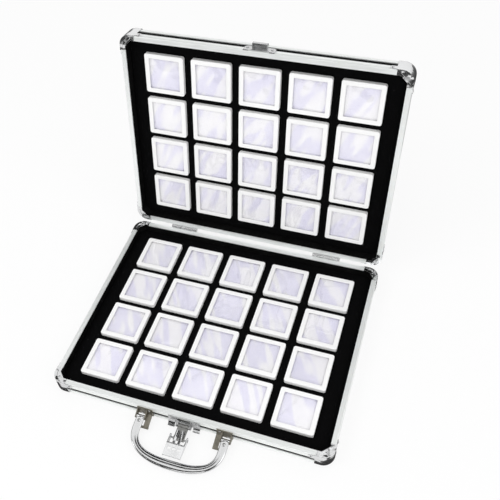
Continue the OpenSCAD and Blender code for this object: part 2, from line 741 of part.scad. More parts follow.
case_panel();  // base_floor
wall_boards(base_h);  // base_walls
rim_bars(base_h);  // base_rim
edge_bars();  // base_edge
corner_caps(base_h);  // base_corners
cap_rivets(base_h);  // base_corner_rivets
foam_insert();  // base_foam
in_lid() case_panel();  // lid_panel
in_lid() wall_boards(lid_h);  // lid_walls
in_lid() rim_bars(lid_h);  // lid_rim
in_lid() edge_bars();  // lid_edge
in_lid() corner_caps(lid_h);  // lid_corners
in_lid() cap_rivets(lid_h);  // lid_corner_rivets
in_lid() foam_insert();  // lid_foam
each_hinge() base_leaf();  // hinge_base_leaves
lid_pose() each_hinge() lid_leaf();  // hinge_lid_leaves
each_hinge() hinge_pin();  // hinge_pins
color([0.62, 0.62, 0.62]) each_hinge() leaf_holes(base_hole_z) rivet(leaf_t);  // hinge_base_rivets
color([0.62, 0.62, 0.62]) lid_pose() each_hinge() leaf_holes(lid_hole_z) rivet(leaf_t);  // hinge_lid_rivets
color([0.74, 0.73, 0.70]) both_brackets() bracket();  // handle_brackets
color([0.62, 0.62, 0.62]) both_brackets()  // handle_bracket_rivets
    for (p = bracket_rivets) translate([p[0], 0, p[1]]) rotate([-90, 0, 0]) rivet(plate_t);
color([0.70, 0.70, 0.70]) both_brackets()  // handle_pins
    translate([arm_x - arm_w / 2 - ear_gap - ear_t, handle_pin_out, handle_pin_z])
        rotate([0, 90, 0]) cylinder(r = handle_pin_r, h = arm_w + 2 * (ear_gap + ear_t));
handle_pose() bail();  // handle_bail
color([0.85, 0.85, 0.85]) handle_pose() each_arm()  // handle_rivets
    translate([0, arm_rivet_out, handle_t / 2]) handle_dome();
on_front() latch_base();  // latch_plate
color([0.62, 0.62, 0.62]) on_front() each_latch_rivet() rivet(plate_t);  // latch_plate_rivets
plate_pin();  // latch_plate_pin
on_front() link();  // latch_link
lever_pin();  // latch_lever_pin
lever_pose() lever();  // latch_lever
lid_pose() on_front() catch_body();  // catch_plate
color([0.62, 0.62, 0.62]) lid_pose() on_front()  // catch_rivets
    for (x = [-1, 1]) translate([x * catch_rivet_x, 0, catch_rivet_z]) rotate([-90, 0, 0])
        rivet(plate_t);
each_box(loose_base) tray();  // base_box_trays
each_box(loose_base) pad();  // base_box_pads
each_box(loose_base) cap();  // base_box_caps
each_box(loose_base) window();  // base_box_windows
in_lid() each_box(loose_lid) tray();  // lid_box_trays
in_lid() each_box(loose_lid) pad();  // lid_box_pads
in_lid() each_box(loose_lid) cap();  // lid_box_caps
in_lid() each_box(loose_lid) window();  // lid_box_windows
translate(box_at(loose_base)) tray();  // loose_base_tray
translate(box_at(loose_base)) pad();  // loose_base_pad
translate(box_at(loose_base)) cap();  // loose_base_cap
translate(box_at(loose_base)) window();  // loose_base_window
in_lid() translate(box_at(loose_lid)) tray();  // loose_lid_tray
in_lid() translate(box_at(loose_lid)) pad();  // loose_lid_pad
in_lid() translate(box_at(loose_lid)) cap();  // loose_lid_cap
in_lid() translate(box_at(loose_lid)) window();  // loose_lid_window
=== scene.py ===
"""Dresses the mineral specimen box: an open aluminium case with foam in both halves and
forty small white boxes, each with a pale pad under a clear window."""

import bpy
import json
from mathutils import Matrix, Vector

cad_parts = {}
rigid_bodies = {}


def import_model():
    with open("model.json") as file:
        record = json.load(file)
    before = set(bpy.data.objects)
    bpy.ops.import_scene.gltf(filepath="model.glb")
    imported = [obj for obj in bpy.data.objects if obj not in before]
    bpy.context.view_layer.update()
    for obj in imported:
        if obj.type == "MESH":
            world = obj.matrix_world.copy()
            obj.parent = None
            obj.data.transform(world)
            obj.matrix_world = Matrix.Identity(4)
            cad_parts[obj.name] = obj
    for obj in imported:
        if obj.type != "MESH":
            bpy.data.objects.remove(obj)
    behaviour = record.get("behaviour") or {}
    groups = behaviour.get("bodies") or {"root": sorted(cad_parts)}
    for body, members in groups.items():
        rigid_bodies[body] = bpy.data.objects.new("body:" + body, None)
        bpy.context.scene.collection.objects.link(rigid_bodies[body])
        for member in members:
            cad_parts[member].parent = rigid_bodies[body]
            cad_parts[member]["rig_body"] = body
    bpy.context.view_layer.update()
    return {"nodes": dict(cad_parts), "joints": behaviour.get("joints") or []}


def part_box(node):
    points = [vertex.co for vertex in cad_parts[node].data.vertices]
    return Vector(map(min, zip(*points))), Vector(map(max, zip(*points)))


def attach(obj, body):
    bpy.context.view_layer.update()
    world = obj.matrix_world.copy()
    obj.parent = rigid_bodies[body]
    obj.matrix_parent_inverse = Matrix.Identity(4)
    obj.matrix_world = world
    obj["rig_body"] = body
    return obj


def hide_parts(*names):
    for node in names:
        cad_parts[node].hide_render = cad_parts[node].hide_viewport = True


bl_info = {
    "name": "Mineral specimen box",
    "version": (1, 0, 0),
    "blender": (4, 5, 0),
    "location": "3D View > Sidebar > Specimen box",
    "description": "Foam, pads, small boxes, metal fittings and the studio of a specimen case",
    "category": "Object",
}

import json
import math

import bmesh
import bpy
import numpy as np
from mathutils import Matrix, Vector

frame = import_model()
NODES = frame["nodes"]
JOINTS = {joint["name"]: joint for joint in frame["joints"]}
MM = 0.001


class SpecimenSizes(bpy.types.PropertyGroup):
    """Counts and sizes that a maker would change"""
    columns: bpy.props.IntProperty(
        name="Columns", description="Small boxes across the case", default=5, min=1)
    rows: bpy.props.IntProperty(
        name="Rows", description="Small boxes from front to back", default=4, min=1)
    closed_height: bpy.props.FloatProperty(
        name="Closed height", description="Height of the case when it is shut",
        default=47.7 * MM, subtype="DISTANCE", unit="LENGTH")
    edge: bpy.props.FloatProperty(
        name="Metal edge", description="Radius that breaks the edges of the metal pieces",
        default=0.25 * MM, subtype="DISTANCE", unit="LENGTH")
    rivet_dome: bpy.props.FloatProperty(
        name="Rivet dome", description="Radius that rounds the rivets' heads",
        default=0.45 * MM, subtype="DISTANCE", unit="LENGTH")
    foam_lip: bpy.props.FloatProperty(
        name="Foam lip", description="How far the foam rounds over at a pocket",
        default=0.9 * MM, subtype="DISTANCE", unit="LENGTH")
    cap_round: bpy.props.FloatProperty(
        name="Cap rounding", description="Radius round the top of a small box",
        default=0.6 * MM, subtype="DISTANCE", unit="LENGTH")
    cap_corner: bpy.props.FloatProperty(
        name="Cap corner", description="Corner radius of a small box seen from above",
        default=2.6 * MM, subtype="DISTANCE", unit="LENGTH")
    frame_border: bpy.props.FloatProperty(
        name="Frame border", description="Width of a cap's frame round its window",
        default=5.6 * MM, subtype="DISTANCE", unit="LENGTH")
    lever_dip: bpy.props.FloatProperty(
        name="Lever dip", description="Slope of the latch lever's plate towards its tip",
        default=math.radians(4.5), subtype="ANGLE", unit="ROTATION")


class SpecimenLooks(bpy.types.PropertyGroup):
    """Colours that a maker would change"""
    aluminium: bpy.props.FloatVectorProperty(
        name="Aluminium", description="Colour of the drawn profiles",
        default=(0.93, 0.955, 0.94), subtype="COLOR", min=0, max=1)
    chrome: bpy.props.FloatVectorProperty(
        name="Plating", description="Colour of the plated fittings",
        default=(0.83, 0.835, 0.84), subtype="COLOR", min=0, max=1)
    steel: bpy.props.FloatVectorProperty(
        name="Link steel", description="Colour of the latch's dull link",
        default=(0.40, 0.40, 0.385), subtype="COLOR", min=0, max=1)
    bracket: bpy.props.FloatVectorProperty(
        name="Bracket steel", description="Colour of the handle's dull brackets",
        default=(0.29, 0.27, 0.225), subtype="COLOR", min=0, max=1)
    plastic: bpy.props.FloatVectorProperty(
        name="White plastic", description="Colour of the small boxes",
        default=(0.935, 0.935, 0.93), subtype="COLOR", min=0, max=1)
    pad: bpy.props.FloatVectorProperty(
        name="Pad", description="Colour of the soft pads",
        default=(0.95, 0.935, 0.995), subtype="COLOR", min=0, max=1)
    window: bpy.props.FloatVectorProperty(
        name="Window", description="Tint of the clear windows",
        default=(0.95, 0.95, 0.99), subtype="COLOR", min=0, max=1)
    foam: bpy.props.FloatVectorProperty(
        name="Foam", description="Colour of the foam",
        default=(0.0022, 0.0022, 0.0024), subtype="COLOR", min=0, max=1)
    board: bpy.props.FloatVectorProperty(
        name="Board", description="Colour of the black boards and panels",
        default=(0.005, 0.005, 0.005), subtype="COLOR", min=0, max=1)


# Finishes


class Finish:
    """A material whose pattern is worked out from Object coordinates."""

    def __init__(self, name, metallic=0.0, specular=0.5):
        self.material = bpy.data.materials.new(name)
        self.material.use_nodes = True
        self.tree = self.material.node_tree
        self.shader = self.tree.nodes["Principled BSDF"]
        self.shader.inputs["Metallic"].default_value = metallic
        self.shader.inputs["Specular IOR Level"].default_value = specular
        self.place = self.tree.nodes.new("ShaderNodeTexCoord").outputs["Object"]

    def noise(self, scale, stretch=(1, 1, 1), detail=3, turn=None):
        """Noise of so many cells a metre, drawn out by dividing a direction's scale. With
        a turn, three angles, it is turned first and drawn out by multiplying."""
        mapping = self.tree.nodes.new("ShaderNodeMapping")
        mapping.inputs["Scale"].default_value = stretch
        if turn is not None:
            mapping.vector_type = "TEXTURE"
            mapping.inputs["Rotation"].default_value = turn
        self.tree.links.new(self.place, mapping.inputs["Vector"])
        node = self.tree.nodes.new("ShaderNodeTexNoise")
        node.inputs["Scale"].default_value = scale
        node.inputs["Detail"].default_value = detail
        self.tree.links.new(mapping.outputs["Vector"], node.inputs["Vector"])
        return node.outputs["Fac"]

    def cells(self, scale):
        """Distance from the middles of random cells, as in open foam."""
        node = self.tree.nodes.new("ShaderNodeTexVoronoi")
        node.inputs["Scale"].default_value = scale
        self.tree.links.new(self.place, node.inputs["Vector"])
        return node.outputs["Distance"]

    def spread(self, value, low, high, out_low, out_high):
        """Maps a value from one span to another and holds it there."""
        node = self.tree.nodes.new("ShaderNodeMapRange")
        for key, number in (("From Min", low), ("From Max", high),
                            ("To Min", out_low), ("To Max", out_high)):
            node.inputs[key].default_value = number
        self.tree.links.new(value, node.inputs["Value"])
        return node.outputs["Result"]

    def colours(self, value, first, second, low=0.3, high=0.7):
        """Base colour that goes from first to second as value rises."""
        ramp = self.tree.nodes.new("ShaderNodeValToRGB")
        ramp.color_ramp.elements[0].position = low
        ramp.color_ramp.elements[1].position = high
        ramp.color_ramp.elements[0].color = (*first, 1)
        ramp.color_ramp.elements[1].color = (*second, 1)
        self.tree.links.new(value, ramp.inputs["Fac"])
        self.tree.links.new(ramp.outputs["Color"], self.shader.inputs["Base Color"])

    def rough(self, value, low, high):
        """Roughness between low and high as value rises."""
        self.tree.links.new(self.spread(value, 0.3, 0.7, low, high),
                            self.shader.inputs["Roughness"])

    def relief(self, value, depth, strength=1.0):
        """Bump of the given depth in metres."""
        bump = self.tree.nodes.new("ShaderNodeBump")
        bump.inputs["Distance"].default_value = depth
        bump.inputs["Strength"].default_value = strength
        self.tree.links.new(value, bump.inputs["Height"])
        self.tree.links.new(bump.outputs["Normal"], self.shader.inputs["Normal"])


def tinted(colour, factor):
    """A colour made lighter or darker, and held below white."""
    return tuple(min(1.0, c * factor) for c in colour)


def drawn_aluminium(name, colour, along):
    """Satin aluminium with fine lines along one axis, 0 for X and 1 for Y."""
    finish = Finish(name, metallic=0.5)
    drawn_out = [1.0, 1.0, 1.0]
    drawn_out[along] = 0.012
    lines = finish.noise(1500, drawn_out, 2)
    finish.colours(lines, tinted(colour, 0.93), tinted(colour, 1.05))
    finish.rough(finish.noise(60), 0.30, 0.42)
    finish.relief(lines, 0.02 * MM, 0.5)
    return finish.material


def plating(name, colour, low=0.07, high=0.2, wave=0.0):
    """Bright plating with faint smears over hairline scratches, or over the soft waves
    that pressing leaves in a sheet."""
    finish = Finish(name, metallic=1.0)
    finish.colours(finish.noise(25), tinted(colour, 0.93), tinted(colour, 1.04))
    finish.rough(finish.noise(90, (1, 0.3, 1), 5), low, high)
    if wave:
        finish.relief(finish.noise(110, detail=1), wave)
    else:
        finish.relief(finish.noise(900, (0.05, 1, 1)), 0.01 * MM, 0.35)
    return finish.material


def dull_steel(name, colour):
    """Bare steel, mottled by its rolled skin."""
    finish = Finish(name, metallic=1.0)
    finish.colours(finish.noise(140), tinted(colour, 0.8), tinted(colour, 1.2))
    finish.rough(finish.noise(400), 0.32, 0.5)
    finish.relief(finish.noise(1200), 0.03 * MM, 0.5)
    return finish.material


def white_moulding(colour):
    """White plastic, a little mottled, with a fine moulded skin."""
    finish = Finish("white_moulding", specular=0.45)
    finish.colours(finish.noise(18), tinted(colour, 0.975), tinted(colour, 1.02))
    finish.rough(finish.noise(220), 0.28, 0.4)
    finish.relief(finish.noise(700), 0.02 * MM, 0.4)
    return finish.material


def soft_pad(colour):
    """Pale felted pad with short tangled fibres and soft broad shades."""
    finish = Finish("soft_pad", specular=0.1)
    finish.shader.inputs["Sheen Weight"].default_value = 0.2
    finish.colours(finish.noise(35), tinted(colour, 0.95), tinted(colour, 1.06))
    finish.rough(finish.noise(500), 0.85, 1.0)
    finish.relief(finish.noise(1800, detail=6), 0.12 * MM, 0.7)
    return finish.material


def clear_sheet(name, colour, drawn_out, turn):
    """Thin clear sheet: mostly see-through, with lilac streaks, drawn out and turned as
    given, and a polished face whose soft waves bend what it mirrors. Both faces' gloss
    is put into one."""
    finish = Finish(name, specular=1.0)
    lilac = (0.66 * colour[0], 0.64 * colour[1], 0.92 * colour[2])
    finish.colours(finish.noise(95, drawn_out, 1, turn), lilac, tinted(colour, 1.05),
                   0.47, 0.53)
    finish.rough(finish.noise(40), 0.03, 0.08)
    finish.relief(finish.noise(34, (1.6, 0.7, 1), 1), 1.5 * MM)
    finish.shader.inputs["Alpha"].default_value = 0.15
    finish.shader.inputs["IOR"].default_value = 2.35
    return finish.material


def open_foam(colour):
    """Matt black foam with small open cells."""
    finish = Finish("open_foam", specular=0.05)
    cells = finish.cells(1400)
    finish.colours(cells, tinted(colour, 0.6), tinted(colour, 1.5), 0.1, 0.6)
    finish.rough(finish.noise(300), 0.9, 1.0)
    finish.relief(cells, 0.25 * MM, 0.8)
    return finish.material


def black_board(colour):
    """Black faced board with a leathery grain."""
    finish = Finish("black_board", specular=0.05)
    finish.colours(finish.noise(80), tinted(colour, 0.7), tinted(colour, 1.5))
    finish.rough(finish.noise(300), 0.5, 0.7)
    finish.relief(finish.cells(700), 0.06 * MM, 0.5)
    return finish.material


# Shapes


def in_lid(points):
    """Points drawn as in the base, turned over on the closed height and then about the
    hinge line by the open angle."""
    angle = math.radians(-JOINTS["lid_hinge"]["range_deg"][0])
    hinge = np.array(JOINTS["lid_hinge"]["pos_m"])
    closed = bpy.context.scene.specimen_sizes.closed_height
    y = points[:, 1] - hinge[1]
    z = closed - points[:, 2] - hinge[2]
    return np.stack([points[:, 0],
                     hinge[1] + y * math.cos(angle) + z * math.sin(angle),
                     hinge[2] - y * math.sin(angle) + z * math.cos(angle)], axis=1)


def as_drawn(points):
    """Points left where they are, in the base."""
    return points


def quads(rows, columns, wrap_rows, wrap_columns):
    """Corner numbers of a grid's quads; a wrapped direction joins its last line to its
    first."""
    i = np.arange(rows if wrap_rows else rows - 1)[:, None]
    j = np.arange(columns if wrap_columns else columns - 1)[None, :]
    down, right = (i + 1) % rows, (j + 1) % columns
    corners = [i * columns + j, down * columns + j, down * columns + right, i * columns + right]
    return np.stack(np.broadcast_arrays(*corners), axis=-1).reshape(-1, 4)


def make_piece(name, shells, material, body, replaced, crease=35):
    """One object from (points, faces) shells in metres: seams and poles are merged, faces
    are turned outwards, and edges sharper than crease degrees stay crisp."""
    points, faces, count = [], [], 0
    for shell_points, shell_faces in shells:
        points.append(shell_points)
        faces.append(shell_faces + count)
        count += len(shell_points)
    mesh = bpy.data.meshes.new(name)
    mesh.from_pydata(np.concatenate(points).tolist(), [], np.concatenate(faces).tolist())
    work = bmesh.new()
    work.from_mesh(mesh)
    bmesh.ops.remove_doubles(work, verts=work.verts, dist=1e-7)
    bmesh.ops.dissolve_degenerate(work, edges=work.edges, dist=1e-7)
    bmesh.ops.recalc_face_normals(work, faces=work.faces)
    work.to_mesh(mesh)
    work.free()
    return finish_piece(name, mesh, material, body, replaced, crease)


def finish_piece(name, mesh, material, body, replaced, crease):
    """Object of a finished mesh: its material, smooth faces with crisp edges, the body it
    rides on, and the nodes it stands for."""
    mesh.materials.clear()
    mesh.materials.append(material)
    mesh.polygons.foreach_set("use_smooth", np.ones(len(mesh.polygons), bool))
    mesh.set_sharp_from_angle(angle=math.radians(crease))
    piece = bpy.data.objects.new(name, mesh)
    bpy.context.scene.collection.objects.link(piece)
    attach(piece, body)
    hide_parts(*replaced)
    return piece


def broken_edges(node, material, width, segments=2):
    """A copy of a metal piece whose flat faces are whole again and whose edges are
    broken by a small bevel. It stands for the piece."""
    sharp = 30
    mesh = NODES[node].data.copy()
    work = bmesh.new()
    work.from_mesh(mesh)
    bmesh.ops.remove_doubles(work, verts=work.verts, dist=1e-6)
    bmesh.ops.dissolve_limit(work, angle_limit=math.radians(0.5), verts=work.verts,
                             edges=work.edges)
    work.to_mesh(mesh)
    work.free()
    piece = finish_piece(node + "_finished", mesh, material,
                         NODES[node]["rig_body"], [node], sharp)
    bevel = piece.modifiers.new("broken edge", "BEVEL")
    bevel.width = width
    bevel.segments = segments
    bevel.limit_method = "ANGLE"
    bevel.angle_limit = math.radians(sharp)
    bevel.harden_normals = True
    return piece


def give(node, material):
    """A node keeps its shape and gets this material."""
    NODES[node].data.materials.clear()
    NODES[node].data.materials.append(material)


def grid_of_boxes(sizes):
    """Middles of the small boxes in the base, and the numbers of the loose cells in the
    base and in the lid."""
    low, high = [np.array(c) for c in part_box("base_box_caps")]
    loose_low, loose_high = [np.array(c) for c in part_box("loose_base_cap")]
    low, high = np.minimum(low, loose_low), np.maximum(high, loose_high)
    half = (loose_high - loose_low)[:2] / 2
    x = np.linspace(low[0] + half[0], high[0] - half[0], sizes.columns)
    y = np.linspace(low[1] + half[1], high[1] - half[1], sizes.rows)
    cells = np.stack(np.meshgrid(x, y), axis=-1).reshape(-1, 2)
    middle = (loose_low + loose_high) / 2
    loose_base = int(np.argmin(np.hypot(*(cells - middle[:2]).T)))
    lid_low, lid_high = [np.array(c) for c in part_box("loose_lid_cap")]
    lid_cells = in_lid(np.column_stack([cells, np.full(len(cells), middle[2])]))
    away = lid_cells - (lid_low + lid_high) / 2
    loose_lid = int(np.argmin(np.linalg.norm(away, axis=1)))
    return cells, loose_base, loose_lid


def rounded_square(half, radius, steps=5):
    """Loop round a square with round corners: quarter circles joined by straight sides."""
    angles = np.concatenate([np.linspace(q, q + 90, steps + 1) for q in (0, 90, 180, 270)])
    centres = np.repeat([[1, 1], [-1, 1], [-1, -1], [1, -1]], steps + 1, axis=0)
    turn = np.radians(angles)
    return centres * (half - radius) + radius * np.stack([np.cos(turn), np.sin(turn)], axis=1)


def box_shells(make_shell, cells, skip, place):
    """The same shell at every cell but the skipped ones."""
    points, faces = make_shell
    made = []
    for number, (x, y) in enumerate(cells):
        if number not in skip:
            made.append((place(points + [x, y, 0]), faces))
    return made


def ring_shell(profile, half):
    """A closed profile of (inset, height, corner radius) carried round a square."""
    loops = []
    for inset, height, radius in profile:
        loop = rounded_square(half - inset, radius)
        loops.append(np.column_stack([loop, np.full(len(loop), height)]))
    return np.concatenate(loops), quads(len(loops), len(loops[0]), True, True)


def cap_shell(sizes):
    """Cap: a skirt, a top edge rounded by a quarter circle, a flat frame, a soft inner
    edge, and the seat that holds the window."""
    low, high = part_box("loose_base_cap")
    window_low, window_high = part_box("loose_base_window")
    half = (high.x - low.x) / 2
    play, seat_corner = 0.02 * MM, 0.6 * MM
    seat = half - (window_high.x - window_low.x) / 2 - play
    wall, corner, r = 1.1 * MM, sizes.cap_corner, sizes.cap_round
    border, soft, opening = sizes.frame_border, 0.3 * MM, 0.8 * MM
    top, under = high.z, window_low.z
    turns = np.radians(np.linspace(0, 90, 6))
    profile = [(0, low.z, corner)]
    profile += [(r - r * math.cos(t), top - r + r * math.sin(t), corner - r * (1 - math.cos(t)))
                for t in turns]
    profile += [(border - soft + soft * math.sin(t), top - soft + soft * math.cos(t),
                 opening + soft - soft * math.sin(t)) for t in turns]
    profile += [(border, window_high.z, opening), (seat, window_high.z, seat_corner),
                (seat, under, seat_corner), (wall, under, corner - wall),
                (wall, low.z, corner - wall)]
    return ring_shell(profile, half)


def pad_shell():
    """Pad: a square cushion in polar form. Its reach is a superellipse drawn in between
    the corners, and its top falls from the crown as the sixth power of the reach."""
    low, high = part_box("loose_base_pad")
    half = (high.x - low.x) / 2
    power, pull, clear = 7, 0.012, 0.05 * MM
    fall, shoulder, wall, foot = 0.10, 0.965, 0.88, 0.02
    around = np.radians(np.arange(0, 360, 360 / 40))
    reach = (np.abs(np.cos(around)) ** power + np.abs(np.sin(around)) ** power) ** (-1 / power)
    reach = reach * (1 - pull * np.cos(2 * around) ** 2)
    height = high.z - low.z
    top = np.linspace(0, 1, 9) ** 0.7
    side = np.array([0.93, 0.6, 0.3, 0.05])
    radius = np.concatenate([top * shoulder, np.array([0.99, 1.0, 1.0, 0.985]), [0.0]])
    level = np.concatenate([high.z - clear - fall * height * top ** 6,
                            low.z + side * height * wall, [low.z + foot * height]])
    x = half * radius[:, None] * (reach * np.cos(around))[None, :]
    y = half * radius[:, None] * (reach * np.sin(around))[None, :]
    limit = half - clear
    points = np.stack([np.clip(x, -limit, limit), np.clip(y, -limit, limit),
                       np.broadcast_to(level[:, None], x.shape)], axis=-1)
    return points.reshape(-1, 3), quads(len(radius), len(around), False, True)


def foam_shell(sizes, cells):
    """Foam: a sheet of heights over lines that crowd at the pockets. The top rounds over
    by a quarter circle towards each pocket, drops to the pocket's floor, and closes below.
    Each outer corner is cut across."""
    low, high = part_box("base_foam")
    tray_low, tray_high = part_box("loose_base_tray")
    pocket = (tray_high.x - tray_low.x) / 2 + 0.2 * MM
    floor, lip = tray_low.z - 0.05 * MM, sizes.foam_lip
    cut, edge_band, edge_drop, near = 6.8 * MM, 1.0 * MM, 0.5 * MM, 1e-6
    steps = np.array([-lip, -0.7 * lip, -0.4 * lip, -0.15 * lip, 0, 0.02 * MM])

    def lines(middles, reach):
        marks = [[-reach, -reach + edge_band, -reach + cut, reach - cut, reach - edge_band,
                  reach]]
        for middle in np.unique(np.round(middles, 6)):
            marks += [middle - pocket + steps, middle + pocket - steps[::-1], [middle]]
        return np.unique(np.round(np.concatenate(marks), 7))

    xs, ys = lines(cells[:, 0], high.x), lines(cells[:, 1], high.y)
    x, y = np.meshgrid(xs, ys)
    away = np.full(x.shape, 1.0)
    for cx, cy in cells:
        outside = np.maximum(np.abs(x - cx) - pocket, np.abs(y - cy) - pocket)
        away = np.where(np.abs(outside) < np.abs(away), outside, away)
        away = np.where(outside < -near, np.minimum(away, outside), away)
    rim = np.minimum(high.x - np.abs(x), high.y - np.abs(y))
    drop = lip - np.sqrt(np.maximum(lip ** 2 - (lip - np.clip(away, 0, lip)) ** 2, 0))
    drop += edge_drop * (rim < edge_band / 2)
    z = np.where(away < -near, floor, high.z - drop)
    corner = (np.abs(x) > high.x - near) & (np.abs(y) > high.y - near)
    x = np.where(corner, x - np.sign(x) * cut / 2, x)
    y = np.where(corner, y - np.sign(y) * cut / 2, y)
    top = np.stack([x, y, z], axis=-1).reshape(-1, 3)
    base = np.stack([x, y, np.full(x.shape, low.z)], axis=-1).reshape(-1, 3)
    rows, columns = x.shape
    number = np.arange(rows * columns).reshape(rows, columns)
    edge = np.concatenate([number[0, :-1], number[:-1, -1], number[-1, :0:-1],
                           number[:0:-1, 0]])
    following = np.roll(edge, -1)
    walls = np.stack([edge, following, following + top.shape[0], edge + top.shape[0]], axis=1)
    sheet = quads(rows, columns, False, False)
    return np.concatenate([top, base]), np.concatenate([sheet, sheet + top.shape[0], walls])


def bow(angle, half, start, deep, power):
    """Half of a rounded bow: a superellipse of the given power over a straight start."""
    x = half * np.sign(np.cos(angle)) * np.abs(np.cos(angle)) ** (2 / power)
    y = start + (deep - start) * np.abs(np.sin(angle)) ** (2 / power)
    return np.stack([x, y], axis=1)


def bail_shells():
    """Handle: stations between an inner bow and an outer bow, each a superellipse ring
    whose ridge is drawn towards the outer edge, and a rounded eye at each pin. Drawn level
    with the pin line on X, then let down."""
    arm, arm_w, start, eye = 52.1 * MM, 9.8 * MM, 12 * MM, 2.5 * MM
    arm_from, arm_to, thick, droop = 1.6 * MM, 10 * MM, 4.4 * MM, math.radians(6)
    inner_deep, outer_deep, inner_power, outer_power = 38 * MM, 49 * MM, 2.9, 2.3
    fullness, skew, proud, chamfer = 0.8, 0.35, 0.1 * MM, 0.3 * MM
    pin = np.array(JOINTS["handle_swing"]["pos_m"])
    angle = np.linspace(0, math.pi, 145)
    inner = bow(angle, arm - arm_w / 2, start, inner_deep, inner_power)
    outer = bow(angle, arm + arm_w / 2, start, outer_deep, outer_power)
    down = np.array([[0, y - start] for y in np.linspace(arm_from, arm_to, 5)])
    inner = np.concatenate([inner[:1] + down, inner, (inner[-1:] + down)[::-1]])
    outer = np.concatenate([outer[:1] + down, outer, (outer[-1:] + down)[::-1]])
    around = np.radians(np.arange(0, 360, 10))
    cosine = np.sign(np.cos(around)) * np.abs(np.cos(around)) ** fullness
    sine = np.sign(np.sin(around)) * np.abs(np.sin(around)) ** fullness
    sine = sine * (1 + skew * np.cos(around))
    sine = sine / np.abs(sine).max()
    middle, half = (inner + outer) / 2, (outer - inner) / 2
    flat = middle[:, None, :] + half[:, None, :] * cosine[None, :, None]
    ring = np.concatenate([flat, np.broadcast_to((thick / 2 * sine)[None, :, None],
                                                 (*flat.shape[:2], 1))], axis=-1)
    ends = [np.repeat(ring[i].mean(axis=0)[None], len(around), axis=0)[None] for i in (0, -1)]
    ring = np.concatenate([ends[0], ring, ends[1]])
    shells = [(ring.reshape(-1, 3), quads(len(ring), len(around), False, True))]
    reach = arm_w / 2 + proud
    along = np.array([-reach, -reach, -reach + chamfer, reach - chamfer, reach, reach])
    radius = np.array([0, eye - chamfer, eye, eye, eye - chamfer, 0])
    for side in (-1, 1):
        tube = np.stack([np.broadcast_to(side * arm + along[:, None],
                                         (len(along), len(around))),
                         radius[:, None] * np.cos(around)[None, :],
                         radius[:, None] * np.sin(around)[None, :]], axis=-1)
        shells.append((tube.reshape(-1, 3), quads(len(along), len(around), False, True)))
    placed = []
    for points, faces in shells:
        y, z = points[:, 1], points[:, 2]
        out = y * math.cos(droop) + z * math.sin(droop)
        up = z * math.cos(droop) - y * math.sin(droop)
        placed.append((np.stack([points[:, 0], pin[1] - out, pin[2] + up], axis=1), faces))
    return placed


def dipped_plate(lever, dip):
    """Lowers the lever's plate towards its tip: a point beyond the root sinks by the
    tangent of the dip times its way past the root."""
    pin = JOINTS["latch_lever_swing"]["pos_m"]
    root = 7.5 * MM
    points = np.zeros(len(lever.data.vertices) * 3)
    lever.data.vertices.foreach_get("co", points)
    points = points.reshape(-1, 3)
    points[:, 2] -= math.tan(dip) * np.maximum(pin[1] - root - points[:, 1], 0)
    lever.data.vertices.foreach_set("co", points.ravel())
    lever.data.update()


# Pieces


def box_pieces(sizes, kind, shell, material):
    """The same piece of every small box: those held in the base, those held in the lid,
    and the loose one in each."""
    cells, loose_base, loose_lid = grid_of_boxes(sizes)
    everything = set(range(len(cells)))
    rows = (
        ("base_box_" + kind + "s", "base_box_" + kind + "s", as_drawn, "case_base", {loose_base}),
        ("lid_box_" + kind + "s", "lid_box_" + kind + "s", in_lid, "lid", {loose_lid}),
        ("loose_base_" + kind, "loose_base_" + kind, as_drawn, None, everything - {loose_base}),
        ("loose_lid_" + kind, "loose_lid_" + kind, in_lid, None, everything - {loose_lid}),
    )
    made = []
    for name, node, place, body, skip in rows:
        made.append(make_piece(name + "_finished", box_shells(shell, cells, skip, place),
                               material, body or NODES[node]["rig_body"], [node]))
    return made


class SPECIMEN_OT_foam(bpy.types.Operator):
    """Foam inserts of both halves, with a pocket for each small box"""
    bl_idname = "specimen_box.foam"
    bl_label = "Foam inserts"

    def execute(self, context):
        sizes = context.scene.specimen_sizes
        material = open_foam(context.scene.specimen_looks.foam)
        cells, _, _ = grid_of_boxes(sizes)
        points, faces = foam_shell(sizes, cells)
        for name, place, body, node in (("foam_in_base", as_drawn, "case_base", "base_foam"),
                                        ("foam_in_lid", in_lid, "lid", "lid_foam")):
            make_piece(name, [(place(points), faces)], material, body, [node])
        return {"FINISHED"}


class SPECIMEN_OT_pads(bpy.types.Operator):
    """Pale soft pads inside the small boxes"""
    bl_idname = "specimen_box.pads"
    bl_label = "Pads"

    def execute(self, context):
        material = soft_pad(context.scene.specimen_looks.pad)
        for piece in box_pieces(context.scene.specimen_sizes, "pad", pad_shell(), material):
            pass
        return {"FINISHED"}


class SPECIMEN_OT_caps(bpy.types.Operator):
    """White caps of the small boxes, and the trays under them"""
    bl_idname = "specimen_box.caps"
    bl_label = "Caps and trays"

    def execute(self, context):
        sizes = context.scene.specimen_sizes
        material = white_moulding(context.scene.specimen_looks.plastic)
        box_pieces(sizes, "cap", cap_shell(sizes), material)
        for node in ("base_box_trays", "lid_box_trays", "loose_base_tray", "loose_lid_tray"):
            give(node, material)
        return {"FINISHED"}


class SPECIMEN_OT_windows(bpy.types.Operator):
    """Clear windows of the small boxes"""
    bl_idname = "specimen_box.windows"
    bl_label = "Windows"

    def execute(self, context):
        looks, slant = context.scene.specimen_looks, math.radians(28)
        lying = clear_sheet("sheet_in_base", looks.window, (1, 6, 1), (0, 0, slant))
        standing = clear_sheet("sheet_in_lid", looks.window, (1, 1, 6), (0, slant, 0))
        for node, material in (("base_box_windows", lying), ("loose_base_window", lying),
                               ("lid_box_windows", standing), ("loose_lid_window", standing)):
            give(node, material)
        return {"FINISHED"}


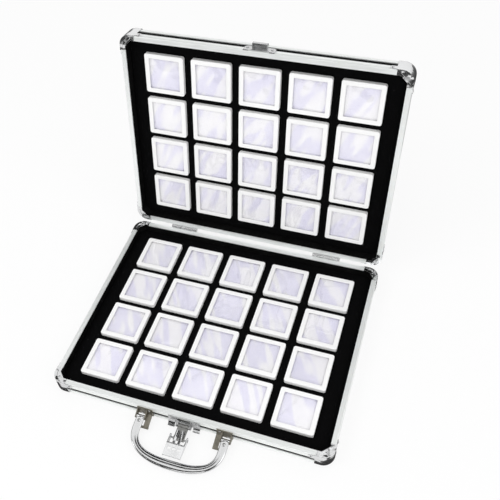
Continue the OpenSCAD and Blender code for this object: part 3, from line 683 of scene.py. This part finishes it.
class SPECIMEN_OT_profiles(bpy.types.Operator):
    """Aluminium rim and edge profiles of both halves"""
    bl_idname = "specimen_box.profiles"
    bl_label = "Aluminium profiles"

    def execute(self, context):
        looks, sizes = context.scene.specimen_looks, context.scene.specimen_sizes
        side_bar = 12 * MM
        along_x = drawn_aluminium("aluminium_across", looks.aluminium, 0)
        along_y = drawn_aluminium("aluminium_deep", looks.aluminium, 1)
        for node in ("base_rim", "base_edge", "lid_rim", "lid_edge"):
            piece = broken_edges(node, along_x, sizes.edge)
            piece.data.materials.append(along_y)
            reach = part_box(node)[1].x - side_bar
            middles = np.zeros(len(piece.data.polygons) * 3)
            piece.data.polygons.foreach_get("center", middles)
            sides = np.abs(middles.reshape(-1, 3)[:, 0]) > reach
            piece.data.polygons.foreach_set("material_index", sides.astype(np.int32))
        return {"FINISHED"}


class SPECIMEN_OT_boards(bpy.types.Operator):
    """Black wall boards and large panels"""
    bl_idname = "specimen_box.boards"
    bl_label = "Boards and panels"

    def execute(self, context):
        material = black_board(context.scene.specimen_looks.board)
        for node in ("base_floor", "base_walls", "lid_panel", "lid_walls"):
            give(node, material)
        return {"FINISHED"}


class SPECIMEN_OT_corners(bpy.types.Operator):
    """Plated corner caps and all rivets"""
    bl_idname = "specimen_box.corners"
    bl_label = "Corner caps and rivets"

    def execute(self, context):
        looks, sizes = context.scene.specimen_looks, context.scene.specimen_sizes
        # The corner caps take the plating darkened a little: painted shade for the dark
        # reflections on the caps
        cap = plating("corner_plating", tinted(looks.chrome, 0.94), 0.07, 0.18, 0.75 * MM)
        for node in ("base_corners", "lid_corners"):
            broken_edges(node, cap, sizes.edge)
        head = plating("rivet_plating", tinted(looks.chrome, 0.85), 0.15, 0.3)
        for node in ("base_corner_rivets", "lid_corner_rivets", "hinge_base_rivets",
                     "hinge_lid_rivets", "handle_bracket_rivets", "latch_plate_rivets",
                     "catch_rivets"):
            broken_edges(node, head, sizes.rivet_dome, 3)
        return {"FINISHED"}


class SPECIMEN_OT_hinges(bpy.types.Operator):
    """Hinge leaves and pins"""
    bl_idname = "specimen_box.hinges"
    bl_label = "Hinges"

    def execute(self, context):
        looks, sizes = context.scene.specimen_looks, context.scene.specimen_sizes
        leaf = plating("hinge_plating", looks.chrome, 0.16, 0.3)
        for node in ("hinge_base_leaves", "hinge_lid_leaves", "hinge_pins"):
            broken_edges(node, leaf, sizes.edge)
        return {"FINISHED"}


class SPECIMEN_OT_handle(bpy.types.Operator):
    """Handle with its brackets, pins and rivets"""
    bl_idname = "specimen_box.handle"
    bl_label = "Handle"

    def execute(self, context):
        looks, sizes = context.scene.specimen_looks, context.scene.specimen_sizes
        # The handle and its rivets take the plating darkened a little: painted shade for the dark
        # reflections on the bail
        bright = plating("handle_plating", tinted(looks.chrome, 0.92), 0.05, 0.14)
        make_piece("handle_bail_finished", bail_shells(), bright, "handle",
                   ["handle_bail"], 45)
        broken_edges("handle_brackets", dull_steel("bracket_steel", looks.bracket), sizes.edge)
        broken_edges("handle_pins", plating("pin_plating", looks.chrome), sizes.edge)
        give("handle_rivets", bright)
        return {"FINISHED"}


class SPECIMEN_OT_latch(bpy.types.Operator):
    """Toggle latch on the base and its catch on the lid"""
    bl_idname = "specimen_box.latch"
    bl_label = "Latch and catch"

    def execute(self, context):
        looks, sizes = context.scene.specimen_looks, context.scene.specimen_sizes
        # The latch's plate, catch and pins take the plating darkened to three quarters: painted
        # shade for the darker reflections on these plates
        shaded_plating = plating("latch_plating", tinted(looks.chrome, 0.75), 0.12, 0.26)
        for node in ("latch_plate", "catch_plate", "latch_plate_pin", "latch_lever_pin"):
            broken_edges(node, shaded_plating, sizes.edge)
        # The lever's plating is a little lighter than the plating colour: a painted highlight for
        # the bright reflection on its plate
        lever = broken_edges("latch_lever", plating("lever_plating", tinted(looks.chrome, 1.05)),
                             1.6 * sizes.edge)
        dipped_plate(lever, sizes.lever_dip)
        broken_edges("latch_link", dull_steel("link_steel", looks.steel), sizes.edge)
        return {"FINISHED"}


# Studio

# The camera of the photograph, in sides of a small box: a turn from the case's axes to
# right, down and ahead, as a vector whose length is the angle, and the case's place there,
# which is given for RIM_MIDDLE, a point at the fold between the two rims
CAMERA_TURN = Vector((2.42596214, 0.37332834, -0.24921177))
CAMERA_PLACE = Vector((1.16884, -0.29346, 18.71335))
BOX_SIDE = 50 * MM
RIM_MIDDLE = Vector((0, 2.695, 0.074 + 0.45))
FOCAL_PIXELS, PICTURE_PIXELS = 685.55, 500
SIGHT_PIXEL = (209.76, 252.76)
SENSOR_MM = 36

# Half the side of the floor, and how much of it shines by itself to the camera and in
# polished faces, so that it shows white
FLOOR_REACH, SHINE_SEEN, SHINE_MIRRORED = 25, 0.84, 0.12
# Strength of the white surroundings: as they light the object, and as they are seen
WORLD_LIGHT, WORLD_SEEN = 0.85, 1.0

# Black cards that only polished faces mirror: name and two opposite corners in metres
FLAGS = (
    ("flag_above", (-1.6, 0.56, 1.2), (1.4, 1.9, 1.2)),
    ("flag_front", (-1.2, -0.85, 0), (1.2, -0.85, 0.4)),
    ("flag_behind", (-1.6, 0.4, 0.002), (1.6, 3, 0.002)),
    ("flag_over_grip", (-0.65, 0.17, 1.2), (0.02, 0.37, 1.2)),
    ("flag_behind_eye", (-0.9, -0.7, 1.2), (0.6, -0.14, 1.2)),
    ("flag_facing", (-1.2, -1.7, 0.9), (1.2, -0.6, 0.9)),
    ("flag_before", (-1.2, -1.6, 0.002), (1.2, -0.7, 0.002)),
    ("flag_left", (-1.5, -0.6, 0.05), (-1.5, 1.2, 0.7)),
)
# A black card under each corner of the case, mirrored only: painted shadow standing in for the
# shade on the floor at the case's foot, as polished faces show it. Its outer corner, its side and
# its height
SHADOW_CARD_AT, SHADOW_CARD_SIDE, SHADOW_CARD_HIGH = (0.1765, 0.140), 0.025, 0.001

# Name, place, aim and side in metres, and watts
LAMPS = (
    ("lamp_left", (-0.9, -0.7, 1.5), (0, 0, 0.1), 0.9, 4.8),
    ("lamp_right", (1.1, -0.3, 1.3), (0, 0.05, 0.1), 0.8, 2.5),
    ("lamp_front", (0.05, -0.8, 0.5), (0, 0.1, 0.1), 0.5, 1.2),
)


def rectangle(low, high):
    """Corners of the flat rectangle between two opposite ones that share a coordinate."""
    (x0, y0, z0), (x1, y1, z1) = low, high
    if x0 == x1:
        return [(x0, y0, z0), (x0, y1, z0), (x0, y1, z1), (x0, y0, z1)]
    if y0 == y1:
        return [(x0, y0, z0), (x1, y0, z0), (x1, y0, z1), (x0, y0, z1)]
    return [(x0, y0, z0), (x1, y0, z0), (x1, y1, z0), (x0, y1, z0)]


def plain_sheet(name, corners, material, mirrored_only=False):
    """A flat four-cornered sheet of the studio. Where it is mirrored only, polished
    faces show it, and it casts no shade."""
    mesh = bpy.data.meshes.new(name)
    mesh.from_pydata(corners, [], [(0, 1, 2, 3)])
    mesh.materials.append(material)
    sheet = bpy.data.objects.new(name, mesh)
    bpy.context.scene.collection.objects.link(sheet)
    for kind in ("camera", "diffuse", "shadow", "transmission"):
        setattr(sheet, "visible_" + kind, not mirrored_only)


def paper_white():
    """Pale paper, nearly white with a faint shadow to the camera, and with a deeper one
    in polished metal."""
    material = bpy.data.materials.new("studio_paper")
    material.use_nodes = True
    tree = material.node_tree
    shader = tree.nodes["Principled BSDF"]
    shader.inputs["Base Color"].default_value = (0.9, 0.9, 0.9, 1)
    shader.inputs["Roughness"].default_value = 0.9
    glow = tree.nodes.new("ShaderNodeEmission")
    glow.inputs["Strength"].default_value = 1.0
    path = tree.nodes.new("ShaderNodeLightPath")
    mirrored = tree.nodes.new("ShaderNodeMath")
    mirrored.operation = "MULTIPLY"
    mirrored.inputs[1].default_value = SHINE_MIRRORED
    tree.links.new(path.outputs["Is Glossy Ray"], mirrored.inputs[0])
    share = tree.nodes.new("ShaderNodeMath")
    share.operation = "MULTIPLY_ADD"
    share.inputs[1].default_value = SHINE_SEEN
    tree.links.new(path.outputs["Is Camera Ray"], share.inputs[0])
    tree.links.new(mirrored.outputs[0], share.inputs[2])
    mix = tree.nodes.new("ShaderNodeMixShader")
    tree.links.new(share.outputs[0], mix.inputs[0])
    tree.links.new(shader.outputs[0], mix.inputs[1])
    tree.links.new(glow.outputs[0], mix.inputs[2])
    tree.links.new(mix.outputs[0], tree.nodes["Material Output"].inputs["Surface"])
    return material


def black_flag():
    """Black card that gives polished metal something dark to show."""
    material = bpy.data.materials.new("studio_flag")
    material.use_nodes = True
    material.node_tree.nodes["Principled BSDF"].inputs["Base Color"].default_value = (
        0.02, 0.02, 0.02, 1)
    return material


def soft_lamp(name, place, target, size, watts):
    """Square lamp that looks at its target and doesn't show itself to the camera."""
    lamp = bpy.data.lights.new(name, "AREA")
    lamp.shape = "SQUARE"
    lamp.size = size
    lamp.energy = watts
    holder = bpy.data.objects.new(name, lamp)
    holder.location = place
    holder.visible_camera = False
    aim = Vector(target) - Vector(place)
    holder.rotation_euler = aim.to_track_quat("-Z", "Y").to_euler()
    bpy.context.scene.collection.objects.link(holder)


def photograph_camera(scene):
    """Camera at the photograph's place, with its focal length and its small shift."""
    turn = Matrix.Rotation(CAMERA_TURN.length, 3, CAMERA_TURN.normalized())
    place = -(turn.transposed() @ CAMERA_PLACE) + RIM_MIDDLE
    eye = bpy.data.cameras.new("camera")
    eye.sensor_width = SENSOR_MM
    eye.lens = FOCAL_PIXELS / PICTURE_PIXELS * SENSOR_MM
    eye.shift_x = 0.5 - SIGHT_PIXEL[0] / PICTURE_PIXELS
    eye.shift_y = SIGHT_PIXEL[1] / PICTURE_PIXELS - 0.5
    eye.clip_end = 20
    camera = bpy.data.objects.new("camera", eye)
    scene.collection.objects.link(camera)
    look = turn.transposed() @ Matrix(((1, 0, 0), (0, -1, 0), (0, 0, -1)))
    camera.matrix_world = Matrix.Translation(place * BOX_SIDE) @ look.to_4x4()
    scene.camera = camera


def white_surroundings(scene):
    """White world, full to the camera and in polished faces, and a little less as light."""
    world = bpy.data.worlds.new("studio")
    scene.world = world
    world.use_nodes = True
    tree = world.node_tree
    back = tree.nodes["Background"]
    back.inputs["Color"].default_value = (1, 1, 1, 1)
    path = tree.nodes.new("ShaderNodeLightPath")
    seen = tree.nodes.new("ShaderNodeMath")
    seen.operation = "MAXIMUM"
    tree.links.new(path.outputs["Is Camera Ray"], seen.inputs[0])
    tree.links.new(path.outputs["Is Glossy Ray"], seen.inputs[1])
    level = tree.nodes.new("ShaderNodeMapRange")
    level.inputs["To Min"].default_value = WORLD_LIGHT
    level.inputs["To Max"].default_value = WORLD_SEEN
    tree.links.new(seen.outputs[0], level.inputs["Value"])
    tree.links.new(level.outputs["Result"], back.inputs["Strength"])


class SPECIMEN_OT_studio(bpy.types.Operator):
    """Camera, pale floor, soft lamps and white surroundings"""
    bl_idname = "specimen_box.studio"
    bl_label = "Studio"

    def execute(self, context):
        scene = context.scene
        photograph_camera(scene)
        plain_sheet("floor", rectangle((-FLOOR_REACH, -FLOOR_REACH, 0),
                                       (FLOOR_REACH, FLOOR_REACH, 0)), paper_white())
        card = black_flag()
        for name, low, high in FLAGS:
            plain_sheet(name, rectangle(low, high), card, mirrored_only=True)
        # Black cards under the corners, seen only in polished faces: painted shadow for the
        # floor's shade at the foot of the case
        for right, back in ((1, 1), (-1, 1), (-1, -1), (1, -1)):
            x, y = right * SHADOW_CARD_AT[0], back * SHADOW_CARD_AT[1]
            inner = (x - right * SHADOW_CARD_SIDE, y - back * SHADOW_CARD_SIDE,
                     SHADOW_CARD_HIGH)
            plain_sheet("flag_corner", rectangle((x, y, SHADOW_CARD_HIGH), inner), card,
                        mirrored_only=True)
        for lamp in LAMPS:
            soft_lamp(*lamp)
        white_surroundings(scene)
        scene.view_settings.view_transform = "Standard"
        return {"FINISHED"}


PIECES = (SPECIMEN_OT_studio, SPECIMEN_OT_foam, SPECIMEN_OT_pads, SPECIMEN_OT_caps,
          SPECIMEN_OT_windows, SPECIMEN_OT_profiles, SPECIMEN_OT_boards, SPECIMEN_OT_corners,
          SPECIMEN_OT_hinges, SPECIMEN_OT_handle, SPECIMEN_OT_latch)


class SPECIMEN_PT_panel(bpy.types.Panel):
    """Sizes, colours and the buttons that make each group of pieces"""
    bl_idname = "SPECIMEN_PT_panel"
    bl_label = "Specimen box"
    bl_space_type = "VIEW_3D"
    bl_region_type = "UI"
    bl_category = "Specimen box"

    def draw(self, context):
        for group in (context.scene.specimen_sizes, context.scene.specimen_looks):
            for name in group.__annotations__:
                self.layout.prop(group, name)
        for piece in PIECES:
            self.layout.operator(piece.bl_idname)


CLASSES = (SpecimenSizes, SpecimenLooks, *PIECES, SPECIMEN_PT_panel)


def register():
    """Registers the classes and gives the scene both groups of values."""
    for entry in CLASSES:
        bpy.utils.register_class(entry)
    bpy.types.Scene.specimen_sizes = bpy.props.PointerProperty(type=SpecimenSizes)
    bpy.types.Scene.specimen_looks = bpy.props.PointerProperty(type=SpecimenLooks)


def unregister():
    """Takes back what register did, in the opposite order."""
    del bpy.types.Scene.specimen_looks
    del bpy.types.Scene.specimen_sizes
    for entry in reversed(CLASSES):
        bpy.utils.unregister_class(entry)


def main():
    """Makes every piece in order."""
    register()
    for piece in PIECES:
        group, name = piece.bl_idname.split(".")
        getattr(getattr(bpy.ops, group), name)()


if __name__ == "__main__":
    main()
